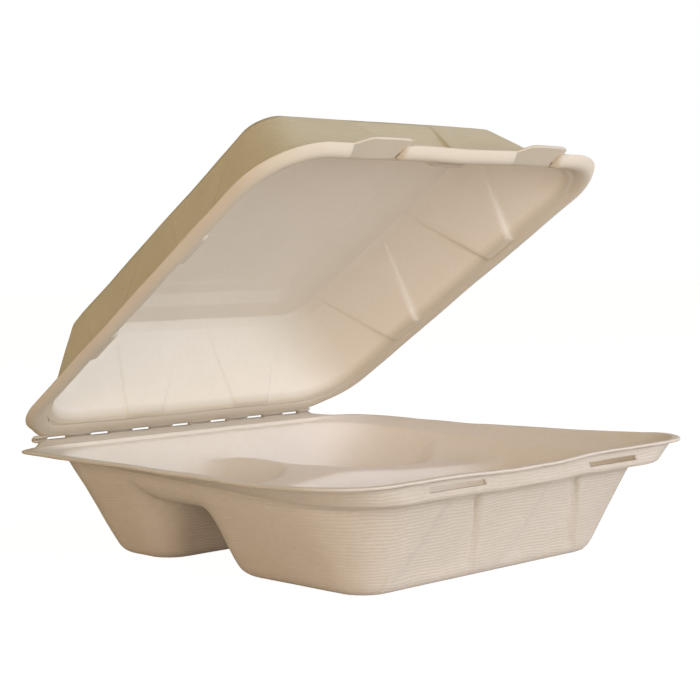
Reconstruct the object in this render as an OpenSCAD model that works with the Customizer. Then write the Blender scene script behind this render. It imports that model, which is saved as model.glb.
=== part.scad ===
// Hinged fibre tray with three compartments and a domed lid.
// Origin: on the table, midway across and midway from the front rim to the fold.
// X runs along the hinge, the front is at -Y, +Z is up.
// Tray and lid are one moulded sheet in real life; here the sheet parts along the perforated fold.

/* [Tray] */
// Rim width along the hinge
tray_w = 229; // [215:1:245]
// Rim depth from front to hinge side
tray_d = 231; // [217:1:247]
// Height of the rim above the table
tray_h = 49; // [46:0.5:58]
// Thickness of the moulded sheet
sheet_t = 1; // [0.8:0.1:1.2]

/* [Compartments] */
// Height of the long divider where it meets the side walls
ridge_h = 32; // [26:0.5:34]
// Rise of the long divider at its middle
ridge_rise = 3.5; // [2:0.5:4]
// Middle of the long divider, measured from the centre towards the hinge
divider_y = 16; // [6:1:26]
// Half width of the gap under the short divider at table level
short_gap = 14; // [12:1:20]

/* [Lid] */
// Height of the dome above the flange
lid_h = 41; // [34:0.5:48]
// Lid narrower than the rim, on each side
lid_inset = 9.4; // [8.4:0.2:12]
// Rise of the centre panel above the dome
panel_h = 2; // [1:0.25:3]
// Angle between the lid and level in the modelled pose
lid_angle = 32; // [0:1:110]

/* [Closure] */
// Distance of each tongue from the centre line
tongue_x = 49; // [42:1:58]
// Width of a tongue where it leaves the flange
tongue_w = 31; // [24:1:36]
// Height of a slot in the front band
slot_h = 2.6; // [2.4:0.1:3]

/* [Fold] */
// Number of slits along the fold
slits = 7; // [5:2:9]
// Distance between slits
slit_pitch = 25; // [20:0.5:28]
// Length of one slit
slit_l = 11; // [8:0.5:14]

/* [Hidden] */
seg = 6;
parts = 4;
half_w = tray_w / 2;
half_d = tray_d / 2;
top_z = tray_h;
lip_r = 29;
t = sheet_t;
tilt = 0.029;
fold_y = half_d + 11.35;
fold_z = top_z + 1.6;
centre_y = (fold_y - half_d) / 2;
fold_half = 89;
fold_gap = 0.15;
slit_w = 1.6;
ledge_z = top_z - 5.8;
foot_z = 7.8;
knee_z = 36;
ridge_out = ridge_h - t;
short_ridge = ridge_h + 5;
rib_top = tray_h - 11.8;
rib_foot = 8;
slot_z = top_z - 4.3;
slot_w = tongue_w + 3;
flange = 8;
lid_half = half_w - lid_inset;
lid_l = fold_y + half_d - 4.5;
bead_z = -0.15;
bead_k = 0.0049;
edge_z = 0.6;
edge_k = 0.0027;

// Points of a quarter arc
function arc(cx, cy, r, a0) = [for (i = [0 : seg])
    [cx + r * cos(a0 + 90 * i / seg), cy + r * sin(a0 + 90 * i / seg)]];

// Points between two corners
function between(a, b) = [for (i = [1 : parts - 1]) a + (b - a) * i / parts];

// Rounded rectangle, radii in the order rear right, rear left, front left, front right
function outline(x0, x1, y0, y1, r) = concat(
    arc(x1 - r[0], y1 - r[0], r[0], 0), between([x1 - r[0], y1], [x0 + r[1], y1]),
    arc(x0 + r[1], y1 - r[1], r[1], 90), between([x0, y1 - r[1]], [x0, y0 + r[2]]),
    arc(x0 + r[2], y0 + r[2], r[2], 180), between([x0 + r[2], y0], [x1 - r[3], y0]),
    arc(x1 - r[3], y0 + r[3], r[3], 270), between([x1, y0 + r[3]], [x1, y1 - r[0]]));

// A level is [x0, x1, y0, y1, radii, height, slope along Y]
function level_points(v) = [for (p = outline(v[0], v[1], v[2], v[3], v[4]))
    [p[0], p[1], v[5] + v[6] * p[1]]];

// A centred level given by its insets from the rim
function rim_level(ix, front, rear, r, z, slope = 0) =
    [-half_w + ix, half_w - ix, -half_d + front, half_d - rear, [r, r, r, r], z, slope];

// Solid through a list of levels
module stack(levels) {
    n = 4 * (seg + parts);
    last = (len(levels) - 1) * n;
    polyhedron(points = [for (v = levels) for (p = level_points(v)) p], faces = concat(
        [[for (i = [0 : n - 1]) i]], [[for (i = [n - 1 : -1 : 0]) last + i]],
        [for (k = [0 : len(levels) - 2]) for (i = [0 : n - 1]) for (h = [0, 1]) h == 0
            ? [k * n + i, (k + 1) * n + i, (k + 1) * n + (i + 1) % n]
            : [k * n + i, (k + 1) * n + (i + 1) % n, k * n + (i + 1) % n]]));
}

// Solid box given by four corners on a plane z0 and four on a plane z1
module frustum(x0, x1, y0, y1, z0, u0, u1, v0, v1, z1) {
    hull() polyhedron(points = [[x0, y0, z0], [x1, y0, z0], [x1, y1, z0], [x0, y1, z0],
        [u0, v0, z1], [u1, v0, z1], [u1, v1, z1], [u0, v1, z1]],
        faces = [[3, 2, 1, 0], [4, 5, 6, 7], [0, 1, 5, 4], [1, 2, 6, 5], [2, 3, 7, 6], [3, 0, 4, 7]]);
}

// Wedge shaped rib: p and q are the narrow and the wide end on the wall, u runs along the
// wall, m points into the container, w are half widths, d depths, o the reach outwards
module rib(p, q, u, m, w, d, o) {
    hull() polyhedron(points = [p - u * w[0] - m * o, p + u * w[0] - m * o,
        p + u * w[0] + m * d[0], p - u * w[0] + m * d[0],
        q - u * w[1] - m * o, q + u * w[1] - m * o,
        q + u * w[1] + m * d[1], q - u * w[1] + m * d[1]],
        faces = [[3, 2, 1, 0], [4, 5, 6, 7], [0, 1, 5, 4], [1, 2, 6, 5], [2, 3, 7, 6], [3, 0, 4, 7]]);
}

// Divider faces of the outside, as a function of height
function front_face(z) = divider_y - 16.8 + 0.14 * (z - foot_z);
function rear_face(z) = divider_y + 22.5 - 0.46 * (z - foot_z);
function side_face(z) = short_gap - 1.5 - 0.36 * (z - foot_z);

// Outer wall of the outside, as insets from the rim
function wall_x(z) = 35.4 - 0.58 * (z - foot_z);
function wall_y(z) = 26.75 - 0.47 * (z - foot_z);
function wall_r(z) = 18.9 + 0.52 * (z - foot_z);

// Foot rounding lifts a level by a share of the sheet
function lift(g, f) = g * 0.6 * sign(f) * min(f / 11.5, 1);

function wall_level(z) = rim_level(wall_x(z), wall_y(z), wall_y(z), wall_r(z), z);

// A level of the front compartment; g moves every wall inwards, f adds the foot rounding
function front_level(z, g, f, r) = let (x = half_w - wall_x(z) - 1.15 * g - f,
    c = wall_r(z) - 0.7 * (f + g), d = max(r - f * 0.5, 4))
    [-x, x, -half_d + wall_y(z) + 1.1 * g + f * 0.93, front_face(z) - g - f * 0.6,
    [d, d, c, c], z + lift(g, f), 0];

// A level of the rear left compartment
function rear_level(z, g, f, r) = [-half_w + wall_x(z) + 1.15 * g + f, -side_face(z) - 1.05 * g - f * 0.7,
    rear_face(z) + 1.1 * g + f * 0.9, half_d - wall_y(z) - 1.1 * g - f * 0.93,
    [max(r * 0.8 - f * 0.6, 4), wall_r(z) - 0.7 * (f + g), max(r - f * 0.5, 4), max(r * 1.5 - f * 0.8, 6)],
    z + lift(g, f), 0];

// Foot rounding of a compartment as pairs of height and inset
foot = [[0, 6.4], [0.9, 1.85], [2.4, 0.8]];

module front_pocket(g) {
    stack(concat([for (q = foot) front_level(q[0] + g, g, q[1], 15)],
        [front_level(foot_z + g * 0.5, g, 0, 15), front_level(ridge_out + g, g, 0, 21),
        front_level(ridge_out + g + 1, g + 0.4, 0, 21)]));
}

module rear_pocket(g) {
    stack(concat([for (q = foot) rear_level(q[0] + g, g, q[1], 15)],
        [rear_level(foot_z + g * 0.5, g, 0, 15), rear_level(ridge_out + g, g, 0, 20),
        rear_level(ridge_out + g + 1, g + 0.4, 0, 20)]));
}

module pockets(g) {
    front_pocket(g);
    rear_pocket(g);
    mirror([1, 0, 0]) rear_pocket(g);
}

// Raised middle of the long divider and the short divider; g is the sheet added on top
module divider_rise(g) {
    b = ridge_h - t - 2;
    m = ridge_out + ridge_rise;
    e = short_ridge - t;
    frustum(-62 - g, 62 + g, front_face(b) - g, rear_face(b) + g, b,
        -8 - g, 8 + g, front_face(m + g) - g, rear_face(m + g) + g * 1.2, m + g);
    frustum(-side_face(b) - g, side_face(b) + g, divider_y, half_d - wall_y(b) - 3 + g, b,
        -side_face(e + g) - g * 1.05, side_face(e + g) + g * 1.05,
        divider_y + 14 - g, half_d - wall_y(e) - 3 + g, e + g);
}

function wall_point(x, z) = [x, -half_d + wall_y(z), z];

module front_ribs(g, o) {
    for (s = [-1, 1])
        rib(wall_point(s * 32, rib_top + g) + [0, g, 0],
            wall_point(s * 32, rib_foot - g) + [0, g * 1.1, 0],
            [1, 0, 0], [0, 1, 0], [11.3 + g, 25 + g], [1.8, 0.5], o);
}

module tray_outside() {
    stack([rim_level(0, 0, 0, lip_r, top_z - t), rim_level(0, 0, 0, lip_r, top_z)]);
    difference() {
        union() {
            stack([wall_level(ridge_out), wall_level(knee_z),
                rim_level(15.3, 9.6, 9.2, 33, ledge_z - 0.8, tilt),
                rim_level(13.5, 3.4, 5.2, 27, ledge_z, tilt), rim_level(4, 2.4, 4, 27, top_z - t / 2)]);
            pockets(0);
        }
        front_ribs(0, 3);
    }
    fold_strip();
}

// Strip from the rim to the fold
module fold_strip() {
    y0 = half_d - 3;
    y1 = fold_y - fold_gap;
    w = fold_half + 8;
    hull() polyhedron(points = [[-w, y0, top_z - t + 0.2], [w, y0, top_z - t + 0.2],
        [fold_half, y1, fold_z - t], [-fold_half, y1, fold_z - t], [-w, y0, top_z - 0.2], [w, y0, top_z - 0.2],
        [fold_half, y1, fold_z], [-fold_half, y1, fold_z]],
        faces = [[3, 2, 1, 0], [4, 5, 6, 7], [0, 1, 5, 4], [1, 2, 6, 5], [2, 3, 7, 6], [3, 0, 4, 7]]);
}

// An inner level above the dividers
function inner_level(z, up) = rim_level(wall_x(z) + 1.15 * t, wall_y(z) + 1.1 * t, wall_y(z) + 1.1 * t,
    wall_r(z) - 0.7 * t, z + up);

module tray_inside() {
    difference() {
        union() {
            stack([inner_level(ridge_h, 0), inner_level(knee_z, 0.3),
                rim_level(15.3 + t, 9.6 + t, 9.2 + t, 32, ledge_z - 0.8 + t * 1.1, tilt),
                rim_level(13.5 + t * 0.6, 3.4 + t, 5.2 + t, 26.3, ledge_z + t, tilt),
                rim_level(4.2, 3.4, 4.6, 26, top_z), rim_level(4.2, 3.4, 4.6, 26, top_z + 3)]);
            pockets(t);
        }
        front_ribs(t, 3);
        divider_rise(t + 0.05);
    }
}

// Slots in the front band that take the tongues
module slots() {
    for (s = [-1, 1])
        translate([s * tongue_x, -half_d - 2, slot_z]) rotate([-90, 0, 0]) linear_extrude(9)
            polygon([[-slot_w / 2, slot_h / 2], [-slot_w / 2 + 2, -slot_h / 2],
                [slot_w / 2, -slot_h / 2], [slot_w / 2 - 2, slot_h / 2]]);
}

module slit_cuts(z) {
    for (i = [0 : slits - 1])
        translate([(i - (slits - 1) / 2) * slit_pitch - slit_l / 2, -slit_w / 2, z - 3])
            cube([slit_l, slit_w, 6]);
}

module tray() {
    color([0.85, 0.79, 0.7]) translate([0, -centre_y, 0]) difference() {
        tray_outside();
        tray_inside();
        divider_rise(-0.05);
        slots();
        translate([0, fold_y, 0]) slit_cuts(fold_z);
    }
}

// The lid is drawn closed and level: the fold on the X axis, the front at -Y, heights from the flange
function lid_level(inset, s0, s1, r, z, slope = 0) =
    [-lid_half + inset, lid_half - inset, -s1, -s0, [r, r, r, r], z, slope];

rib_low = 3.4;
rib_high = lid_h - 4.5;
function dome_x(z) = lid_half - flange - 0.2 - 0.585 * (z - 1);
function dome_front(z) = -lid_l + flange + 0.57 * (z - 1);
function dome_rear(z) = -12 - 0.6 * (z - 1);

// A level of the dome: g moves the walls inwards, q adds an inset
function dome_level(z, g, q, r, up = 0) = [-dome_x(z) + g + q, dome_x(z) - g - q,
    dome_front(z) + g + q, dome_rear(z) - g - q, [r, r, r, r], z + up, 0];

// Levels of one side of the lid's sheet, from the bead to the raised panel
function lid_side(g) = let (k = g * 1.15, u = t - g) [
    lid_level(4, 5.5, lid_l - 4, 27, bead_z + u, bead_k),
    lid_level(flange - 0.6 + g * 1.3, 11.4 + g * 1.3, lid_l - flange + 0.6 - g * 1.3, 28 - g,
        0.8 * t + u, -edge_k),
    dome_level(6, k, 0, 26 - g), dome_level(lid_h - 4, k, 0, 15 - g * 0.6),
    dome_level(lid_h, g * 0.9, 2.5, 12, -g), dome_level(lid_h, 0, 20, 9, -g),
    dome_level(lid_h, g * 0.3, 32, 7, panel_h - g)];

module lid_shell() {
    inner = lid_side(t);
    n = len(inner);
    stack(concat([for (i = [n - 1 : -1 : 0]) inner[i]],
        [lid_level(0, 4, lid_l, 30, edge_z, -edge_k), lid_level(0, 4, lid_l, 30, edge_z + t, -edge_k)],
        lid_side(0)));
}

// Recesses of the side walls; g makes the block that carries the sheet behind them
module lid_ribs(g, o) {
    a = rib_low - g;
    b = rib_high + g;
    for (s = [-1, 1]) {
        for (y = [-0.357, -0.681])
            rib([s * (dome_x(a) - g), y * lid_l, a], [s * (dome_x(b) - g), y * lid_l, b],
                [0, 1, 0], [-s, 0, 0], [10 + g, 27 + g], [2, 0.5], o);
        rib([s * 33, dome_rear(a) - g, a], [s * 33, dome_rear(b) - g, b],
            [1, 0, 0], [0, -1, 0], [11 + g, 23 + g], [2, 0.5], o);
    }
    rib([0, dome_front(a) + g, a], [0, dome_front(b) + g, b],
        [1, 0, 0], [0, 1, 0], [10 + g, 28 + g], [2, 0.8], o);
}

// Tongue with a sloped left corner
module tongue(x) {
    y0 = -lid_l + flange + 1.4;
    y1 = -lid_l - 4.5;
    z0 = 1.3;
    z1 = 1.5;
    h = tongue_w / 2 + 0.1;
    plan = [[x - h, y0, z0], [x + h, y0, z0], [x + h, y1 + 3, z1], [x + h - 1, y1, z1],
        [x - h + 9, y1, z1], [x - h, y1 + 5.5, z1]];
    hull() polyhedron(points = concat(plan, [for (p = plan) p + [0, 0, t * 0.9]]),
        faces = [[0, 1, 2, 3, 4, 5], [11, 10, 9, 8, 7, 6], [0, 6, 7, 1], [1, 7, 8, 2], [2, 8, 9, 3],
            [3, 9, 10, 4], [4, 10, 11, 5], [5, 11, 6, 0]]);
    for (s = [-1, 1])
        translate([x + s * (tongue_w / 2 + 0.35), -lid_l + flange / 2 + 0.3, 0.6])
            cube([1, flange - 1.4, 2.5], center = true);
}

module tongue_notch(x) {
    translate([x - tongue_w / 2, -lid_l - 3, -4]) cube([tongue_w, flange + 2.2, 7.5]);
}

module hinge_strip() {
    y1 = -11.8;
    w = fold_half + 3;
    z0 = 0.12;
    z1 = t - 0.12;
    hull() polyhedron(points = [[-fold_half, -fold_gap, z0], [fold_half, -fold_gap, z0],
        [w, y1, z0], [-w, y1, z0],
        [-fold_half, -fold_gap, z1], [fold_half, -fold_gap, z1], [w, y1, z1], [-w, y1, z1]],
        faces = [[0, 1, 2, 3], [7, 6, 5, 4], [0, 4, 5, 1], [1, 5, 6, 2], [2, 6, 7, 3], [3, 7, 4, 0]]);
}

module lid_closed() {
    difference() {
        union() {
            lid_shell();
            lid_ribs(t, 0.5 * t);
            hinge_strip();
        }
        lid_ribs(0, 4);
        slit_cuts(0);
        for (s = [-1, 1]) tongue_notch(s * tongue_x);
    }
    for (s = [-1, 1]) tongue(s * tongue_x);
}

module lid() {
    color([0.87, 0.82, 0.74]) translate([0, fold_y - centre_y, fold_z]) rotate([-lid_angle, 0, 0]) lid_closed();
}

tray();
lid();
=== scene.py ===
import math

import bmesh
import bpy
import numpy as np
from mathutils import Matrix, Vector, noise


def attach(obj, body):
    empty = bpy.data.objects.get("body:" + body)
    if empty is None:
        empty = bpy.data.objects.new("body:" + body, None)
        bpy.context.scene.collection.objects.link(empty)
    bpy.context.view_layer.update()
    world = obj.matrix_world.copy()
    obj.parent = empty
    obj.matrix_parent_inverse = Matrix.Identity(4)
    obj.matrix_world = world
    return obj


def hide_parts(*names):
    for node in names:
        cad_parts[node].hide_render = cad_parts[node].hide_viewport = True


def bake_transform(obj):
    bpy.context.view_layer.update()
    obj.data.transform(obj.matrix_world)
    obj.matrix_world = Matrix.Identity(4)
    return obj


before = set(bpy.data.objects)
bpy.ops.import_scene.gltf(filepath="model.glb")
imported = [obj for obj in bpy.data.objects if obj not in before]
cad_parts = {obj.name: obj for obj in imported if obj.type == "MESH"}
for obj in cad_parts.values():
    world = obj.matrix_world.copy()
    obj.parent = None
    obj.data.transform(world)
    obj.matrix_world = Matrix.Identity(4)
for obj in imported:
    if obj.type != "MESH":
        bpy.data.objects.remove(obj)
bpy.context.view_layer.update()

MM = 0.001

# The same unevenness each run
noise.seed_set(8)

# Sizes of the moulded sheet in millimetres. Y is counted from the middle of the tray here,
# and CENTRE_Y is taken off when a piece is placed.
HALF_W, HALF_D, TOP_Z, SHEET = 114.5, 115.5, 49.0, 1.0
CENTRE_Y = 5.675
FOLD_Y, FOLD_Z = 126.85, 50.6
FOLD_HALF, STRIP_HALF = 89.0, 97.0
FOOT_Z, TILT = 7.8, 0.029
LID_HALF, LID_L, LID_H, FLANGE = 105.1, 237.85, 41.0, 8.0
LID_ANGLE = math.radians(32)
SLITS, SLIT_PITCH, SLIT_L = 7, 25.0, 11.0
TONGUE_X, TONGUE_W = 49.0, 31.0


def smooth_step(value, low, high):
    """0 below low and 1 above high, with a soft passage between."""
    t = np.clip((np.asarray(value, float) - low) / (high - low), 0, 1)
    return t * t * (3 - 2 * t)


def window(value, low, high, soft):
    """1 between low and high, falling to 0 over a soft edge inside them."""
    return smooth_step(value, low, low + soft) * (1 - smooth_step(value, high - soft, high))


def soft_min(a, b, k):
    h = np.clip(0.5 + 0.5 * (b - a) / k, 0, 1)
    return b + (a - b) * h - k * h * (1 - h)


def soft_max(a, b, k):
    return -soft_min(-a, -b, k)


# ---------------------------------------------------------------- the sheet as a grid

def spaced(parts):
    """Positions along a side from (start, end, cells) stretches."""
    out = [parts[0][0]]
    for start, end, cells in parts:
        out += [start + (end - start) * (i + 1) / cells for i in range(cells)]
    return np.array(out, float)


def eased(nodes, reach, steps):
    """Profile through nodes with its corners rounded: reach is the share of each leg that a
    corner takes, steps the extra levels on each straight leg."""
    nodes = [np.array(n, float) for n in nodes]
    out = [nodes[0]]
    for i in range(1, len(nodes)):
        a, b = nodes[i - 1], nodes[i]
        r0 = reach[i - 1] if i > 1 else 0.0
        r1 = reach[i] if i < len(nodes) - 1 else 0.0
        start, end = a + (b - a) * r0, b + (a - b) * r1
        for s in range(steps[i - 1] + 1):
            p = start + (end - start) * s / max(steps[i - 1], 1)
            if s or i > 1:
                out.append(p)
        if i < len(nodes) - 1:
            c = nodes[i + 1]
            far = b + (c - b) * reach[i]
            for t in (0.25, 0.5, 0.75):
                out.append(end * (1 - t) ** 2 + b * 2 * t * (1 - t) + far * t * t)
    return out


def ring_sides(level, shares, arc_cells):
    """Front, rear, left and right side of one level, each from the middle of a corner to the
    middle of the next. A level is x0, x1, y0, y1, radii (rear right, rear left, front left,
    front right), height, slope. The shares say how far along each straight the points lie."""
    x0, x1, y0, y1, rr, rl, fl, fr, z, slope = level
    on_front, on_rear, on_left, on_right = shares
    turn = np.linspace(0, 1, arc_cells + 1)

    def arc(cx, cy, r, start, end):
        a = np.radians(start + (end - start) * turn)
        return np.stack([cx + r * np.cos(a), cy + r * np.sin(a)], 1)

    c_fl, c_fr = (x0 + fl, y0 + fl, fl), (x1 - fr, y0 + fr, fr)
    c_rl, c_rr = (x0 + rl, y1 - rl, rl), (x1 - rr, y1 - rr, rr)

    def straight(a, b, share):
        a, b = np.array(a), np.array(b)
        return a + (b - a) * share[1:-1, None]

    front = np.concatenate([arc(*c_fl, 225, 270), straight((c_fl[0], y0), (c_fr[0], y0), on_front),
                            arc(*c_fr, 270, 315)])
    rear = np.concatenate([arc(*c_rl, 135, 90), straight((c_rl[0], y1), (c_rr[0], y1), on_rear),
                           arc(*c_rr, 90, 45)])
    left = np.concatenate([arc(*c_fl, 225, 180), straight((x0, c_fl[1]), (x0, c_rl[1]), on_left),
                           arc(*c_rl, 180, 135)])
    right = np.concatenate([arc(*c_fr, -45, 0), straight((x1, c_fr[1]), (x1, c_rr[1]), on_right),
                            arc(*c_rr, 0, 45)])
    return [np.column_stack([s, z + slope * s[:, 1]]) for s in (front, rear, left, right)]


def sheet_grid(levels, shares, inner_arc):
    """Points of a formed sheet: one ring of the grid for each level, and an even patch inside
    the last one."""
    rings = len(levels) - 1
    nx = len(shares[0][0]) - 1 + 2 * (inner_arc + rings)
    ny = len(shares[0][2]) - 1 + 2 * (inner_arc + rings)
    points = np.zeros((nx + 1, ny + 1, 3))
    for k, level in enumerate(levels):
        front, rear, left, right = ring_sides(level, shares[k], inner_arc + rings - k)
        points[k:nx - k + 1, k] = front
        points[k:nx - k + 1, ny - k] = rear
        points[k, k:ny - k + 1] = left
        points[nx - k, k:ny - k + 1] = right
    u = ((front[:, 0] - front[0, 0]) / (front[-1, 0] - front[0, 0]))[:, None, None]
    v = ((left[:, 1] - left[0, 1]) / (left[-1, 1] - left[0, 1]))[None, :, None]
    patch = ((1 - v) * front[:, None] + v * rear[:, None] + (1 - u) * left[None] + u * right[None]
             - (1 - u) * (1 - v) * front[0] - u * (1 - v) * front[-1]
             - (1 - u) * v * rear[0] - u * v * rear[-1])
    points[rings:nx - rings + 1, rings:ny - rings + 1] = patch
    return points, rings


def ring_number(points):
    """How many rows of points lie between each point and the nearest edge of the grid."""
    i, j = np.arange(points.shape[0])[:, None], np.arange(points.shape[1])[None]
    return np.minimum(np.minimum(i, i[::-1]), np.minimum(j, j[:, ::-1]))


def relax(points, share, turns):
    """Evens the grid out where share is above 0; its outer rows stay."""
    for _ in range(turns):
        middle = (points[:-2, 1:-1] + points[2:, 1:-1] + points[1:-1, :-2] + points[1:-1, 2:]) / 4
        inner = points[1:-1, 1:-1]
        points[1:-1, 1:-1] = inner + (middle - inner) * share[1:-1, 1:-1, None]


def waver(points, amount, size, seed):
    """Slight unevenness of pressed pulp: its amount and size in millimetres, and where in the
    noise it starts."""
    flat = points.reshape(-1, 3)
    for p in flat:
        n = noise.noise_vector(Vector((p[0] / size + seed, p[1] / size, p[2] / size)))
        p += np.array(n) * amount
    return flat.reshape(points.shape)


def add_object(name, mesh):
    piece = bpy.data.objects.new(name, mesh)
    bpy.context.scene.collection.objects.link(piece)
    return piece


def sheet_mesh(name, points, place):
    """A grid whose vertices are moved to the points; place takes millimetres to the row frame."""
    nx, ny = points.shape[0] - 1, points.shape[1] - 1
    bm = bmesh.new()
    bmesh.ops.create_grid(bm, x_segments=nx, y_segments=ny, size=0.5)
    for v in bm.verts:
        i, j = round((v.co.x + 0.5) * nx), round((v.co.y + 0.5) * ny)
        v.co = place @ Vector(points[i, j])
    bm.normal_update()
    return add_object(name, bpy.data.meshes.new(name)), bm


def cut_out(bm, inside, planes, place):
    """Cuts a hole with straight edges: planes are (point, normal) in millimetres, normals
    pointing out of the hole; inside picks the faces that may be cut."""
    back = place.inverted()
    turn = place.to_3x3()
    for point, normal in planes:
        faces = [f for f in bm.faces if inside(back @ f.calc_center_median())]
        geom = list({v for f in faces for v in f.verts} | {e for f in faces for e in f.edges}) + faces
        bmesh.ops.bisect_plane(bm, geom=geom, dist=1e-7, plane_co=place @ Vector(point),
                               plane_no=(turn @ Vector(normal)).normalized())
    gone = []
    for f in bm.faces:
        c = back @ f.calc_center_median()
        if inside(c) and all((c - Vector(p)).dot(Vector(n)) < 0 for p, n in planes):
            gone.append(f)
    bmesh.ops.delete(bm, geom=gone, context="FACES")


def slit_ends():
    """Left and right end of each slit of the fold."""
    for i in range(SLITS):
        middle = (i - (SLITS - 1) / 2) * SLIT_PITCH
        yield middle - SLIT_L / 2, middle + SLIT_L / 2


def cut_slits(bm, near_fold, edge_y, place):
    """Cuts the slits of the fold out of a strip, as far in as edge_y."""
    for left, right in slit_ends():
        middle = (left + right) / 2
        cut_out(bm, lambda c: c.y > near_fold and abs(c.x - middle) < 9,
                [((left, 0, 0), (-1, 0, 0)), ((right, 0, 0), (1, 0, 0)),
                 ((0, edge_y, 0), (0, -1, 0))], place)


def finish_sheet(piece, bm, materials, thickness):
    """Smooth faces, two finishes and a wall of even thickness behind the modelled face."""
    for f in bm.faces:
        f.smooth = True
    bm.to_mesh(piece.data)
    bm.free()
    for m in materials:
        piece.data.materials.append(m)
    wall = piece.modifiers.new("wall", "SOLIDIFY")
    wall.thickness = thickness
    wall.offset = -1
    wall.use_rim = True
    wall.use_even_offset = False
    wall.material_offset = 1
    wall.material_offset_rim = 1
    return piece


# ---------------------------------------------------------------- tray

def wall_x(z):
    return 35.4 - 0.58 * (z - FOOT_Z)


def wall_y(z):
    return 26.75 - 0.47 * (z - FOOT_Z)


def wall_r(z):
    return 18.9 + 0.52 * (z - FOOT_Z)


def foot(z):
    """Inset of the rounding between a wall and the floor."""
    z = np.clip(z, 0, 4.4)
    return np.maximum(5.2 + 0.58 * z - np.sqrt(np.maximum(z * (18 - z), 0)), 0)


# Place of the long divider, and of the short one from the middle
DIVIDER_Y, SHORT_GAP = 16.0, 14.0

# Edges of the recesses in the front wall as (x at the foot, x under the band); STEP is the
# width of a recess's sloping edge, here and in the lid
FRONT_RECESSES = ((-60.6, -44.7), (-12.0, -23.2), (4.2, 18.2), (54.1, 40.1))
STEP = 1.5

# Rings of points across the tray's lip, and the height where the walls meet the ledge
LIP_RINGS, KNEE_Z = 5, 37.5

# Slots for the tongues: height of the middle, half height, half length
SLOT_Z, SLOT_UP, SLOT_ALONG = 44.9, 1.15, 17.0


def front_compartment(z):
    """Plan of the front compartment at a height above its floor: x0, x1, y0, y1 and radii."""
    f = foot(z)
    x = HALF_W - wall_x(z) - 1.15 * SHEET - f
    back = DIVIDER_Y - 16.8 + 0.14 * (z - FOOT_Z) - SHEET - 0.75 * f
    r = 15 + 0.26 * np.clip(z - FOOT_Z, 0, 40) - 0.5 * f
    c = wall_r(z) - 0.7 * (SHEET + f)
    return -x, x, -HALF_D + wall_y(z) + 1.1 * SHEET + 0.93 * f, back, r, r, c, c


def rear_compartment(z):
    f = foot(z)
    rise = np.clip(z - FOOT_Z, 0, 40)
    x0 = -HALF_W + wall_x(z) + 1.15 * SHEET + f
    x1 = -(SHORT_GAP - 1.5 - 0.36 * (z - FOOT_Z)) - 1.05 * SHEET - 0.8 * f
    y0 = DIVIDER_Y + 22.5 - 0.46 * (z - FOOT_Z) + 1.1 * SHEET + 0.9 * f
    y1 = HALF_D - wall_y(z) - 1.1 * SHEET - 0.93 * f
    return (x0, x1, y0, y1, 11 + 0.18 * rise - 0.6 * f, wall_r(z) - 0.7 * (SHEET + f),
            13 + 0.22 * rise - 0.6 * f, 20 + 0.3 * rise - 0.8 * f)


def whole_tray(z):
    f = foot(z)
    x = HALF_W - wall_x(z) - 1.15 * SHEET - f
    y = HALF_D - wall_y(z) - 1.1 * SHEET - 0.93 * f
    r = wall_r(z) - 0.7 * (SHEET + f)
    return -x, x, -y, y, r, r, r, r


def outside_by(plan, x, y):
    """Distance outside a rounded rectangle; below 0 inside it."""
    x0, x1, y0, y1, rr, rl, fl, fr = plan
    cx, cy = (x0 + x1) / 2, (y0 + y1) / 2
    r = np.where(y > cy, np.where(x > cx, rr, rl), np.where(x > cx, fr, fl))
    qx = np.abs(x - cx) - (x1 - x0) / 2 + r
    qy = np.abs(y - cy) - (y1 - y0) / 2 + r
    return np.hypot(np.maximum(qx, 0), np.maximum(qy, 0)) + np.minimum(np.maximum(qx, qy), 0) - r


def wall_height(plan, x, y, top=60.0):
    """Height at which a point comes to lie inside a compartment that widens upwards."""
    low, high = np.zeros_like(x), np.full_like(x, top)
    for _ in range(22):
        mid = (low + high) / 2
        inside = outside_by(plan(mid), x, y) <= 0
        high = np.where(inside, mid, high)
        low = np.where(inside, low, mid)
    return (low + high) / 2


def ridge_height(x, y):
    """Top of the dividers: the long one rises to its middle, the short one is humped."""
    long_one = 30.3 + 5.6 / (1 + (x / 38) ** 2)
    short_one = 36.0 + 2.4 * np.exp(-((y - 67) / 20) ** 2) - 3.5 * smooth_step(y, 84, 104)
    return long_one + (short_one - long_one) * smooth_step(y, 24, 40)


def tray_height(x, y):
    front = wall_height(front_compartment, x, y)
    rear = wall_height(rear_compartment, -np.abs(x), y)
    around = wall_height(whole_tray, x, y)
    pockets = np.minimum(front, rear)
    over = soft_max(ridge_height(x, y) - SHEET, around, 9.0)
    return np.maximum(soft_min(pockets, over, 4.0), around) + SHEET


def tray_level(ix, front, rear, r, z, slope):
    return [-HALF_W + ix, HALF_W - ix, -HALF_D + front, HALF_D - rear, r, r, r, r, z, slope]


def tray_levels():
    """Lip, band, ledge and the start of the walls, from the rim inwards."""
    lip = [tray_level(ix, ix * 0.82, ix * 1.1, 29 - 0.71 * ix,
                      TOP_Z - 0.35 * max(0, 1 - ix / 1.4) ** 2, 0)
           for ix in np.linspace(0, 3.4, LIP_RINGS)]
    rest = [tray_level(3.5, 2.8, 3.9, 26.5, TOP_Z, 0), tray_level(4.3, 3.4, 4.7, 26, TOP_Z, 0),
            tray_level(14.1, 4.5, 6.2, 26.3, 44.2, TILT),
            tray_level(16.3, 10.6, 10.2, 32, 43.5, TILT),
            tray_level(wall_x(KNEE_Z) + 1.15, wall_y(KNEE_Z) + 1.1, wall_y(KNEE_Z) + 1.1,
                       wall_r(KNEE_Z) - 0.7, KNEE_Z + SHEET, 0)]
    return lip + eased(rest, reach=[0, 0.12, 0.16, 0.3, 0], steps=[1, 6, 2, 3])


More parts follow.
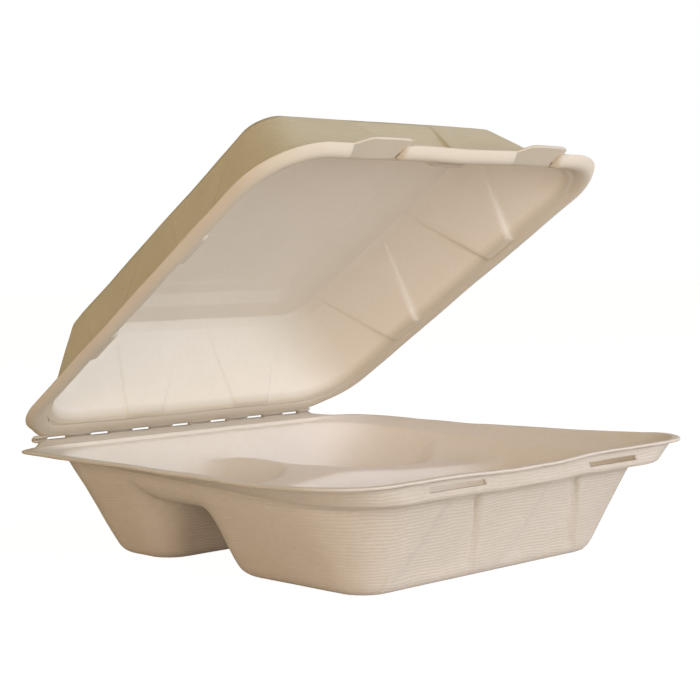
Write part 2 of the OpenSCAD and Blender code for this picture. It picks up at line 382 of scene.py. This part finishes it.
def step_rows(edges):
    """Both sides of the sloping edge of each recess, from left to right."""
    return [e + d for e, d in zip(edges, (0, -STEP, 0, -STEP)) for d in (d, d + STEP)]


def press_front_recesses(points):
    """The two recesses of the front wall, deepest under the band. The rows of points are drawn
    to the slanted edges first."""
    x, y, z = points[..., 0], points[..., 1], points[..., 2]
    level = (37 - z) / 32
    on_wall = smooth_step(-y, 66, 76) * (1 - smooth_step(z, 39.0, 42.0)) * (np.abs(x) < 64)
    before = [-64.0] + step_rows([top for _, top in FRONT_RECESSES]) + [64.0]
    lows, height = np.linspace(0, 1.1, 45)[:-1], 0.025
    for low in lows:
        rows = (level >= low) & (level < low + height)
        edges = [top + (foot_x - top) * (low + height / 2) for foot_x, top in FRONT_RECESSES]
        moved = np.interp(x, before, [-64.0] + step_rows(edges) + [64.0])
        points[..., 0] = np.where(rows, x + (moved - x) * on_wall, points[..., 0])
    x = points[..., 0]
    edges = [top + (foot_x - top) * level for foot_x, top in FRONT_RECESSES]
    depth = (2.3 - 1.2 * np.clip(level, 0, 1)) * on_wall * smooth_step(z, 3.5, 8)
    for left, right in (edges[:2], edges[2:]):
        points[..., 1] += window(x, left, right, STEP) * depth


def draw_tray_strip(points, ring):
    """Draws the lip at the back out to the fold."""
    x, y = points[..., 0], points[..., 1]
    start_y = HALF_D - 4.3
    for k in range(LIP_RINGS + 1):
        share = 1 - k / LIP_RINGS
        on = (ring == k) & (y > 80)
        w = (1 - smooth_step(np.abs(x), FOLD_HALF - 8, STRIP_HALF))
        target_y = start_y + (FOLD_Y - 0.15 - start_y) * share
        target_z = TOP_Z + (FOLD_Z - TOP_Z) * share ** 1.3
        z = points[..., 2]
        points[..., 1] = np.where(on, y + (target_y - y) * w, y)
        points[..., 2] = np.where(on, z + (target_z - z) * w, z)


def warp_rim(points):
    """The rim dried slightly out of true."""
    x, y, z = points[..., 0], points[..., 1], points[..., 2]
    left = np.interp(y, (-90, -60, 0, 55, 95), (0.1, -0.3, 0.4, 0.8, 0.9))
    right = np.interp(y, (-90, -65, -25, 30, 75, 110), (0.9, 0.2, -0.6, -1.3, -0.8, -0.2))
    front = np.interp(x, (-90, -45, -15, 10, 28, 93), (0.6, 0.5, -0.4, -0.3, 1.1, 1.4))
    side = left + (right - left) * smooth_step(x, -60, 60)
    by_front = smooth_step(-y, 70, 105)
    lift = (side + (front - side) * by_front) * smooth_step(z, 38, 45)
    lift *= np.maximum(smooth_step(np.abs(x), 60, 100), by_front) * (1 - smooth_step(y, 96, 112))
    points[..., 2] += lift


def make_tray(materials):
    marks = step_rows([top for _, top in FRONT_RECESSES])
    stops = [-61.6] + marks[:4] + [-14, 14] + marks[4:] + [61.6]
    along_x = spaced(list(zip(stops, stops[1:], (10, 4, 11, 4, 6, 36, 3, 4, 12, 4, 12))))
    along_y = spaced([(-68, -13, 30), (-13, 5, 30), (5, 27, 16), (27, 52, 26), (52, 68, 10)])
    along_x = (along_x - along_x[0]) / (along_x[-1] - along_x[0])
    along_y = (along_y - along_y[0]) / (along_y[-1] - along_y[0])
    levels = tray_levels()
    points, rings = sheet_grid(levels, [(along_x, along_x, along_y, along_y)] * len(levels), 22)

    nx, ny = points.shape[0] - 1, points.shape[1] - 1
    inner = points[rings:nx - rings + 1, rings:ny - rings + 1]
    inner[..., 2] = tray_height(inner[..., 0], inner[..., 1])
    y, z = points[..., 1], points[..., 2]
    ring = ring_number(points)
    deep = smooth_step(ring, rings, rings + 6)
    dividers = deep * smooth_step(z, 14, 26) * smooth_step(y, -16, -10)
    relax(points, 0.5 * deep, 1)
    relax(points, 0.8 * dividers, 16)

    press_front_recesses(points)
    draw_tray_strip(points, ring)
    warp_rim(points)

    base = points.copy()
    waver(points, 0.3, 26, 3.1)
    waver(points, 0.06, 7, 8.4)
    hold = np.where((ring < 6) & (base[..., 1] > 110), 0.15, 1.0) * smooth_step(base[..., 2], 0.5, 3)
    points = base + (points - base) * hold[..., None]
    points[..., 2] = np.maximum(points[..., 2], SHEET)

    place = Matrix.Translation((0, -CENTRE_Y * MM, 0)) @ Matrix.Scale(MM, 4)
    piece, bm = sheet_mesh("tray_sheet", points, place)
    for side in (-1, 1):
        middle = side * TONGUE_X
        cut_out(bm, lambda c: c.y < -109 and 40 < c.z < 48.6 and abs(c.x - middle) < 24,
                [((0, 0, SLOT_Z + SLOT_UP), (0, 0, 1)), ((0, 0, SLOT_Z - SLOT_UP), (0, 0, -1)),
                 ((middle - SLOT_ALONG + 1, 0, SLOT_Z), (-1, 0, -0.7)),
                 ((middle + SLOT_ALONG - 1, 0, SLOT_Z), (1, 0, 0.7))], place)
    cut_slits(bm, FOLD_Y - 3, FOLD_Y - 0.9, place)
    finish_sheet(piece, bm, materials, SHEET * MM)
    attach(piece, "tray")
    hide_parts("tray")
    return piece


# ---------------------------------------------------------------- lid

def dome_x(z):
    return LID_HALF - FLANGE - 0.2 - 0.585 * (z - 1)


def dome_front(z):
    return -LID_L + FLANGE + 0.57 * (z - 1)


def dome_rear(z):
    return -12 - 0.6 * (z - 1)


def lid_level(inset, s0, s1, r, z, slope):
    return [-LID_HALF + inset, LID_HALF - inset, -s1, -s0, r, r, r, r, z, slope]


def dome_level(z, inset, r, up):
    return [-dome_x(z) + inset, dome_x(z) - inset, dome_front(z) + inset, dome_rear(z) - inset,
            r, r, r, r, z + up, 0]


def lid_place():
    return (Matrix.Translation((0, (FOLD_Y - CENTRE_Y) * MM, FOLD_Z * MM))
            @ Matrix.Rotation(-LID_ANGLE, 4, "X") @ Matrix.Scale(MM, 4))


def flange_level(q):
    """Round bead of the flange, q counted inwards from its edge."""
    w = ((q - 4) / (4 if q < 4 else 3.4)) ** 2
    side = 2.15 if q < 4 else 1.9
    s0 = np.interp(q, (0, 4, 7.4), (4, 5.5, 11.4))
    r = np.interp(q, (0, 4, 7.4), (30, 27, 28))
    return lid_level(q, s0, LID_L - q, r, 0.85 + (side - 0.85) * w, 0.0049 - 0.0076 * w)


# Edges of the recesses as (place at the flange, place at the top of the wall); sides are
# measured from the fold, hinge and front wall across
SIDE_EDGES = ((170.8, 189.0), (151.6, 136.6), (94.8, 113.7), (73.6, 57.0))
HINGE_EDGES = ((-41.0, -46.0), (-18.6, -5.6), (27.0, 11.0), (50.3, 59.5))
FRONT_EDGES = ((-10.0, -29.7), (10.0, 24.7))


def rise_of(z):
    return np.clip((z - 3) / 33.5, 0, 1)


def edge_at(edge, z):
    return edge[0] + (edge[1] - edge[0]) * rise_of(z)


def shares_at(start, end, marks, cells):
    """Shares of the way from start to end that put rows of points on the marks."""
    stops = [0.0] + [(m - start) / (end - start) for m in marks] + [1.0]
    return np.concatenate([np.linspace(a, b, n + 1)[:-1] for a, b, n in zip(stops, stops[1:], cells)]
                          + [[1.0]])


def lid_shares(level):
    """Rows of points of the lid that follow the edges of its recesses and tongues."""
    x0, x1, y0, y1, r, z = level[0], level[1], level[2], level[3], level[4], level[8]
    s4, s3, s2, s1 = [-edge_at(e, z) for e in SIDE_EDGES]
    sides = shares_at(y0 + r, y1 - r, (s4, s4 + STEP, s3 - STEP, s3, s2, s2 + STEP, s1 - STEP, s1),
                      (9, 4, 13, 4, 15, 4, 14, 4, 8))
    h1, h2, h3, h4 = [edge_at(e, z) for e in HINGE_EDGES]
    hinge = shares_at(x0 + r, x1 - r, (h1, h1 + STEP, h2 - STEP, h2, h3, h3 + STEP, h4 - STEP, h4),
                      (9, 4, 12, 4, 20, 4, 12, 4, 9))
    f1, f2 = [edge_at(e, z) for e in FRONT_EDGES]
    up = rise_of(z)
    t1, t2, t3, t4 = 65.1 - 9 * up, 63.7 - 9 * up, 34.3 + 6 * up, 32.9 + 6 * up
    front = shares_at(x0 + r, x1 - r,
                      (-t1, -t2, -t3, -t4, f1, f1 + STEP, f2 - STEP, f2, t4, t3, t2, t1),
                      (5, 4, 10, 4, 8, 4, 8, 4, 8, 4, 10, 4, 5))
    return front, hinge, sides, sides


# Distances in from the lid's edge at which the bead has a ring of points
BEAD_RINGS = (0, 0.4, 0.9, 1.6, 2.4, 3.2, 4, 4.8, 5.5, 6.1, 6.6, 7.0)


def lid_levels():
    """Bead, wall, top and the raised panel on the top, from the lid's edge inwards."""
    rest = [flange_level(7.2), flange_level(7.4), dome_level(2.8, 0, 28, 0), dome_level(6, 0, 26, 0),
            dome_level(37, 0, 15, 0), dome_level(LID_H, 2.5, 12, 0), dome_level(LID_H, 16.5, 9, 0),
            dome_level(LID_H, 26, 8, 2.0), dome_level(LID_H, 34, 7, 2.0),
            dome_level(LID_H, 36.5, 7, 2.4)]
    return [flange_level(q) for q in BEAD_RINGS] + eased(
        rest, reach=[0, 0.2, 0.2, 0.1, 0.05, 0.1, 0.12, 0.12, 0.2, 0],
        steps=[1, 1, 1, 12, 2, 2, 2, 1, 1])


def press_lid_recesses(points, ring):
    """Recesses of the walls, deepest at the flange."""
    x, y, z = points[..., 0].copy(), points[..., 1].copy(), points[..., 2].copy()
    ends = smooth_step(z, 1.7, 2.6) * (1 - smooth_step(z, 36.5, 40.8)) * (ring > len(BEAD_RINGS))
    depth = (2.4 - 1.9 * rise_of(z)) * ends
    side = smooth_step(np.abs(x), 58, 64)
    for far, near in (SIDE_EDGES[:2], SIDE_EDGES[2:]):
        push = window(y, -edge_at(far, z), -edge_at(near, z), STEP) * depth * side
        points[..., 0] -= np.sign(x) * push
    rear = smooth_step(y, -45, -38)
    for left, right in (HINGE_EDGES[:2], HINGE_EDGES[2:]):
        push = window(x, edge_at(left, z), edge_at(right, z), STEP) * depth * 0.5 * rear
        points[..., 1] -= push
    front = smooth_step(-y, 196, 204)
    left, right = (edge_at(edge, z) for edge in FRONT_EDGES)
    points[..., 1] += window(x, left, right, STEP) * depth * front


def form_tongues(points, ring):
    """At the tongues the bead stops and the sheet runs on past the flange."""
    x, y = points[..., 0].copy(), points[..., 1].copy()
    for side in (-1, 1):
        middle = side * TONGUE_X
        w = window(x - middle, -16.1, 16.1, 1.4) * smooth_step(-y, 200, 210)
        w = w * (ring <= len(BEAD_RINGS) + 1)
        across = x - middle + TONGUE_W / 2
        reach = np.clip(0.6 + across * 0.62, 0.6, 5.2) * (1 - 0.6 * smooth_step(across, 29.5, 31.5))
        share = np.clip((-y - LID_L + 7.6) / 7.6, 0, 1)
        points[..., 1] -= w * share * reach
        points[..., 2] += (2.45 + 0.15 * share - points[..., 2]) * w


def draw_lid_strip(points, ring):
    """Draws the flange at the hinge wall flat, and out to the fold."""
    lip = len(BEAD_RINGS) + 2
    for k in range(lip + 1):
        share = 1 - k / lip
        x, y, z = points[..., 0], points[..., 1], points[..., 2]
        on = (ring == k) & (y > -30)
        w = 1 - smooth_step(np.abs(x), FOLD_HALF - 12, FOLD_HALF + 5)
        target_y = -10.6 + (10.6 - 0.15) * share
        target_z = SHEET + 1.5 * (1 - share) ** 4
        points[..., 1] = np.where(on, y + (target_y - y) * w, y)
        points[..., 2] = np.where(on, z + (target_z - z) * w, z)


def spread_lid(points):
    """The lid sits a little to one side, and its free corner spreads."""
    x, y = points[..., 0], points[..., 1]
    points[..., 0] += np.interp(x, (-105, -80, 60, 105), (0.5, 0, 0, 0.5)) * smooth_step(-y, 2, 30)
    points[..., 0] += np.interp(x, (60, 105), (0, 0.7)) * smooth_step(-y, 150, 212)


def make_lid(materials):
    levels = lid_levels()
    shares, last = [], None
    for level in levels:
        last = lid_shares(level) if last is None or level[8] <= 37.2 else last
        shares.append(last)
    points, _ = sheet_grid(levels, shares, 4)
    ring = ring_number(points)
    press_lid_recesses(points, ring)
    form_tongues(points, ring)
    draw_lid_strip(points, ring)
    spread_lid(points)

    base = points.copy()
    waver(points, 0.4, 34, 5.7)
    waver(points, 0.07, 9, 1.3)
    hold = np.where(base[..., 1] > -10, 0.15, 1.0)
    points = base + (points - base) * hold[..., None]

    place = lid_place()
    piece, bm = sheet_mesh("lid_sheet", points, place)
    cut_slits(bm, -4, -1.5, place)
    finish_sheet(piece, bm, materials, SHEET * MM)
    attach(piece, "lid")
    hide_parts("lid")
    return piece


# ---------------------------------------------------------------- fold

def make_fold(material):
    """Lands of fibre between the slits, bent round the fold."""
    bend = SHEET / 2
    down = math.radians(-98)
    up = math.radians(90) - LID_ANGLE
    path = []
    for d in (2.4, 1.6, 0.8):
        path.append((-d * math.cos(math.radians(8)) - 0.07, -bend - d * math.sin(math.radians(8))))
    for i in range(9):
        a = down + (up - down) * i / 8
        path.append((bend * math.cos(a), bend * math.sin(a)))
    for d in (0.8, 1.6, 2.4):
        path.append((-d * math.cos(LID_ANGLE) + bend * math.sin(LID_ANGLE),
                     d * math.sin(LID_ANGLE) + bend * math.cos(LID_ANGLE)))
    stops = [-FOLD_HALF + 0.6, *(end for ends in slit_ends() for end in ends), FOLD_HALF - 0.6]
    bm = bmesh.new()
    for a, b in zip(stops[::2], stops[1::2]):
        made = bmesh.ops.create_grid(bm, x_segments=8, y_segments=len(path) - 1, size=0.5)
        for v in made["verts"]:
            j = round((v.co.y + 0.5) * (len(path) - 1))
            y, z = path[j]
            x = a + (b - a) * (v.co.x + 0.5)
            v.co = Vector((x, FOLD_Y - CENTRE_Y + y, FOLD_Z + z)) * MM
    for f in bm.faces:
        f.smooth = True
    bm.normal_update()
    mesh = bpy.data.meshes.new("fold_lands")
    bm.to_mesh(mesh)
    bm.free()
    mesh.materials.append(material)
    piece = add_object("fold_lands", mesh)
    wall = piece.modifiers.new("wall", "SOLIDIFY")
    wall.thickness = 1.06 * SHEET * MM
    wall.offset = 0
    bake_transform(piece)
    return piece


# ---------------------------------------------------------------- finishes

def node(tree, kind, inputs=None, **settings):
    n = tree.nodes.new(kind)
    for key, value in settings.items():
        setattr(n, key, value)
    for key, value in (inputs or {}).items():
        if isinstance(value, tuple) and len(value) == 2 and hasattr(value[0], "outputs"):
            tree.links.new(value[0].outputs[value[1]], n.inputs[key])
        else:
            n.inputs[key].default_value = value
    return n


# Browner colour painted on near the lid's flange and tongues as painted shade
PAINTED_SHADE_BROWN = (0.66, 0.585, 0.48)


def pulp(name, light, dark, turn, screen, rim=None):
    """Pressed pulp: cloudy colour, fine fibres, and on the mould side the ridges of the screen.
    Below the height rim, in metres over the fold's own level, the colour turns browner: painted
    shade, standing in for the shade on the flange, tongues and foot of the wall."""
    mat = bpy.data.materials.new(name)
    mat.use_nodes = True
    tree = mat.node_tree
    shader = tree.nodes["Principled BSDF"]
    coords = node(tree, "ShaderNodeTexCoord")
    place = node(tree, "ShaderNodeMapping", {"Vector": (coords, "Object"), "Rotation": (turn, 0, 0)})
    cloud = node(tree, "ShaderNodeTexNoise", {"Vector": (place, "Vector"), "Scale": 38.0,
                                              "Detail": 5.0, "Roughness": 0.6})
    speck = node(tree, "ShaderNodeTexNoise", {"Vector": (place, "Vector"), "Scale": 420.0,
                                              "Detail": 4.0, "Roughness": 0.65})
    mixed = node(tree, "ShaderNodeMath", {0: (cloud, "Fac"), 1: (speck, "Fac")}, operation="ADD")
    ramp = node(tree, "ShaderNodeMapRange", {"Value": (mixed, "Value"), "From Min": 0.6, "From Max": 1.4})
    tint = node(tree, "ShaderNodeMix", {0: (ramp, "Result"), 6: (*dark, 1), 7: (*light, 1)},
                data_type="RGBA")
    # Painted shade: below the height rim the colour blends into the browner one
    if rim:
        parts = node(tree, "ShaderNodeSeparateXYZ", {0: (place, "Vector")})
        low = node(tree, "ShaderNodeMapRange", {"Value": (parts, "Z"), "From Min": rim,
                                                "From Max": rim + 0.004, "To Min": 1.0,
                                                "To Max": 0.0})
        tint = node(tree, "ShaderNodeMix", {0: (low, "Result"), 6: (tint, 2), 7: (*PAINTED_SHADE_BROWN, 1)},
                    data_type="RGBA")
    tree.links.new(tint.outputs[2], shader.inputs["Base Color"])
    fibre = node(tree, "ShaderNodeTexNoise", {"Vector": (place, "Vector"), "Scale": 900.0,
                                              "Detail": 6.0, "Roughness": 0.7})
    bump = node(tree, "ShaderNodeBump", {"Height": (fibre, "Fac"), "Strength": 0.2, "Distance": 0.0004})
    if screen:
        warp = node(tree, "ShaderNodeTexNoise", {"Vector": (place, "Vector"), "Scale": 55.0,
                                                 "Detail": 2.0})
        push = node(tree, "ShaderNodeVectorMath", {0: (warp, "Color"), 1: (0.0035,) * 3},
                    operation="MULTIPLY")
        bent = node(tree, "ShaderNodeVectorMath", {0: (place, "Vector"), 1: (push, "Vector")},
                    operation="ADD")
        ridges = node(tree, "ShaderNodeTexWave", {"Vector": (bent, "Vector"), "Scale": 215.0,
                                                  "Distortion": 1.2, "Detail": 2.0, "Detail Scale": 2.0},
                      wave_type="BANDS", bands_direction="Z")
        ridge_bump = node(tree, "ShaderNodeBump", {"Height": (ridges, "Fac"), "Strength": 0.24,
                                                   "Distance": 0.0005, "Normal": (bump, "Normal")})
        tree.links.new(ridge_bump.outputs["Normal"], shader.inputs["Normal"])
    else:
        tree.links.new(bump.outputs["Normal"], shader.inputs["Normal"])
    shader.inputs["Roughness"].default_value = 0.86
    shader.inputs["Specular IOR Level"].default_value = 0.22
    return mat


# ---------------------------------------------------------------- studio

def make_camera():
    """The photograph's camera: place in metres, turn in radians, and the focal length in pixels
    of a picture 700 wide."""
    place, focal_px, picture_px = (-0.498343, -0.528142 - CENTRE_Y * MM, 0.130811), 1591.1, 700
    yaw, pitch, roll = 0.758, 0.053, -0.021
    data = bpy.data.cameras.new("camera")
    camera = add_object("camera", data)
    ahead = Vector((math.sin(yaw) * math.cos(pitch), math.cos(yaw) * math.cos(pitch),
                    -math.sin(pitch)))
    right = Vector((math.cos(yaw), -math.sin(yaw), 0))
    up = right.cross(ahead)
    r = right * math.cos(roll) + up * math.sin(roll)
    u = -right * math.sin(roll) + up * math.cos(roll)
    turn = Matrix((r, u, -ahead)).transposed().to_4x4()
    camera.matrix_world = Matrix.Translation(place) @ turn
    data.sensor_width = 36
    data.lens = data.sensor_width * focal_px / picture_px
    data.clip_end = 100
    bpy.context.scene.camera = camera


def make_floor():
    """White floor that still takes the object's shadow."""
    bm = bmesh.new()
    bmesh.ops.create_grid(bm, x_segments=1, y_segments=1, size=8)
    bmesh.ops.translate(bm, verts=bm.verts, vec=(0, 0, -0.0002))
    mesh = bpy.data.meshes.new("floor")
    bm.to_mesh(mesh)
    bm.free()
    floor = add_object("floor", mesh)
    mat = bpy.data.materials.new("white_floor")
    mat.use_nodes = True
    tree = mat.node_tree
    shader = tree.nodes["Principled BSDF"]
    shader.inputs["Base Color"].default_value = (0.9, 0.9, 0.9, 1)
    shader.inputs["Roughness"].default_value = 0.9
    shader.inputs["Specular IOR Level"].default_value = 0.1
    glow = node(tree, "ShaderNodeEmission", {"Color": (1, 1, 1, 1), "Strength": 1.21})
    path = node(tree, "ShaderNodeLightPath")
    share = node(tree, "ShaderNodeMath", {0: (path, "Is Camera Ray"), 1: 0.8}, operation="MULTIPLY")
    mix = node(tree, "ShaderNodeMixShader", {0: (share, "Value"), 1: (shader, "BSDF"),
                                             2: (glow, "Emission")})
    tree.links.new(mix.outputs["Shader"], tree.nodes["Material Output"].inputs["Surface"])
    mesh.materials.append(mat)


def make_light():
    """White background for the camera, a dim warm world for the object, and four soft lamps."""
    world = bpy.data.worlds.new("studio")
    bpy.context.scene.world = world
    world.use_nodes = True
    tree = world.node_tree
    back = tree.nodes["Background"]
    back.inputs["Color"].default_value = (1.0, 0.8, 0.35, 1)
    back.inputs["Strength"].default_value = 0.24
    white = node(tree, "ShaderNodeBackground", {"Color": (1, 1, 1, 1), "Strength": 1.0})
    path = node(tree, "ShaderNodeLightPath")
    mix = node(tree, "ShaderNodeMixShader", {0: (path, "Is Camera Ray"), 1: (back, "Background"),
                                             2: (white, "Background")})
    tree.links.new(mix.outputs["Shader"], tree.nodes["World Output"].inputs["Surface"])
    lamps = (("key", (0.75, -1.4, 0.35), 12.5, (0.87, 0.88, 1.0)),
             ("front", (0.0, -1.6, 0.4), 6.0, (0.65, 0.9, 1.0)),
             ("left", (-1.5, -0.8, 0.35), 14.0, (1.0, 0.81, 0.7)),
             ("high", (1.2, -1.0, 1.3), 8.5, (0.92, 0.8, 1.0)))
    for name, at, power, colour in lamps:
        data = bpy.data.lights.new(name, "AREA")
        data.size = 0.8
        data.energy = power
        data.color = colour
        lamp = add_object(name, data)
        lamp.location = at
        aim = Vector((0, 0, 0.08)) - Vector(at)
        lamp.rotation_euler = aim.to_track_quat("-Z", "Y").to_euler()


make_camera()
make_floor()
make_light()

tray_inside = pulp("pulp_tray_inside", (0.81, 0.765, 0.71), (0.765, 0.71, 0.645), 0.0, False)
tray_outside = pulp("pulp_tray_outside", (0.64, 0.575, 0.50), (0.58, 0.51, 0.43), 0.0, True)
lid_outside = pulp("pulp_lid_outside", (0.65, 0.595, 0.46), (0.59, 0.53, 0.395), LID_ANGLE, True)
# 0.109 m: below this height the lid's inside gets the painted shade
lid_inside = pulp("pulp_lid_inside", (0.86, 0.80, 0.72), (0.82, 0.755, 0.665), LID_ANGLE, False, 0.109)

make_tray([tray_inside, tray_outside])
make_lid([lid_outside, lid_inside])
make_fold(tray_outside)

scene = bpy.context.scene
scene.view_settings.view_transform = "Standard"

bpy.context.view_layer.update()
